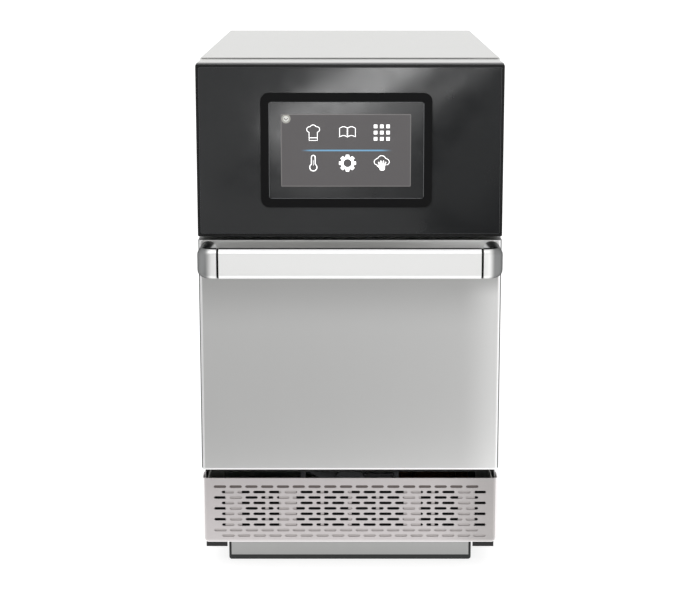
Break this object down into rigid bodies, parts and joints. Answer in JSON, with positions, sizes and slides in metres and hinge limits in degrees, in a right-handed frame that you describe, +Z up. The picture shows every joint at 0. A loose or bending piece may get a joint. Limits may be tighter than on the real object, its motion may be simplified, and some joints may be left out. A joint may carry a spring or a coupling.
{
  "type": "speed oven",
  "caption": "Narrow steel countertop oven: drop-down door with a bar handle, black glass head with a touch screen, slotted air grille and low feet.",
  "frame": {"origin": "middle of the footprint, handle and gland included, on the surface the oven stands on", "axes": "+X to the oven's own right seen from the front, -Y to the front, +Z up"},
  "size_m": [0.356, 0.6704, 0.62],
  "materials": {
    "steel_brushed": "vertical brushed grain, satin",
    "steel_inner": "plain rolled sheet",
    "steel_grille": "fine satin",
    "steel_dark": "heat-darkened",
    "handle_metal": "smooth satin",
    "handle_cast": "cast, satin",
    "painted_grey": "light satin paint",
    "painted_black": "fine matt texture",
    "black_plastic": "moulded, matt",
    "red_plastic": "moulded, matt",
    "white_plastic": "moulded, matt",
    "glass_black": "back-painted, polished",
    "glass_screen": "anti-glare",
    "rubber_black": "matt",
    "filter_mesh": "fine woven mesh",
    "insulation": "needled mineral fibre",
    "ceramic": "matt, porous",
    "circuit_board": "solder-masked laminate",
    "transformer": "varnished laminations",
    "aluminium": "drawn sheet"
  },
  "bodies": {
    "cabinet": {"air_baffle": "steel_inner", "base_pan": "painted_black", "cable_gland": "black_plastic", "catalyst": "ceramic", "cavity_liner": "steel_inner", "control_frame": "black_plastic", "control_glass": "glass_black", "control_housing": "painted_grey", "convection_motor": "aluminium", "cook_plate": "aluminium", "cooling_fan_frame": "black_plastic", "electronics_shelf": "steel_inner", "front_foot_cover": "steel_brushed", "front_foot_rail": "rubber_black", "front_frame": "steel_inner", "heater_element": "steel_dark", "hinge_bracket_left": "steel_inner", "hinge_bracket_right": "steel_inner", "hinge_pin_left": "steel_inner", "hinge_pin_right": "steel_inner", "hot_air_duct": "steel_inner", "hv_capacitor": "aluminium", "hv_transformer": "transformer", "insulation_floor": "insulation", "insulation_jacket": "insulation", "interlock_switch_left": "red_plastic", "interlock_switch_right": "red_plastic", "jet_plate": "steel_inner", "magnetron": "aluminium", "rear_foot_rail": "rubber_black", "rear_panel": "steel_brushed", "relay_board": "circuit_board", "screen_bezel": "black_plastic", "screen_board": "circuit_board", "side_panel_left": "steel_brushed", "side_panel_right": "steel_brushed", "top_cover": "painted_grey", "touch_screen": "glass_screen", "waveguide": "aluminium"},
    "door": {"door_outer_skin": "steel_brushed", "door_inner_panel": "steel_inner", "door_plug_panel": "steel_inner", "door_seal": "rubber_black", "door_insulation": "insulation", "handle_bar": "handle_metal", "door_hinge_arm_left": "steel_inner", "hinge_spring_left": "steel_dark", "handle_spacer_left": "black_plastic", "handle_end_left": "handle_cast", "door_hinge_arm_right": "steel_inner", "hinge_spring_right": "steel_dark", "handle_spacer_right": "black_plastic", "handle_end_right": "handle_cast"},
    "filter": {"front_grille": "steel_grille", "filter_frame": "steel_inner", "filter_mesh": "filter_mesh"},
    "convection_fan": {"convection_impeller": "steel_inner"},
    "cooling_fan": {"cooling_fan_rotor": "black_plastic"},
    "plunger_left": {"interlock_plunger_left": "white_plastic"},
    "plunger_right": {"interlock_plunger_right": "white_plastic"}
  },
  "joints": [
    {"name": "door_hinge", "type": "hinge", "parent": "cabinet", "child": "door", "pos_m": [0, -0.27015, 0.14], "axis": [1, 0, 0], "range_deg": [0, 90]},
    {"name": "filter_slide", "type": "slide", "parent": "cabinet", "child": "filter", "axis": [0, -1, 0], "range_m": [0, 0.02]},
    {"name": "convection_spin", "type": "hinge", "parent": "cabinet", "child": "convection_fan", "pos_m": [0, 0.09985, 0.29], "axis": [0, 1, 0], "continuous": true},
    {"name": "cooling_spin", "type": "hinge", "parent": "cabinet", "child": "cooling_fan", "pos_m": [0, -0.22015, 0.0994], "axis": [0, 1, 0], "continuous": true},
    {"name": "plunger_left_slide", "type": "slide", "parent": "cabinet", "child": "plunger_left", "axis": [0, -1, 0], "range_m": [0, 0.005]},
    {"name": "plunger_right_slide", "type": "slide", "parent": "cabinet", "child": "plunger_right", "axis": [0, -1, 0], "range_m": [0, 0.005]}
  ],
  "couplings": [
    {"joint": "plunger_left_slide", "follows": "door_hinge", "m_per_rad": 0.003183},
    {"joint": "plunger_right_slide", "follows": "door_hinge", "m_per_rad": 0.003183}
  ]
}
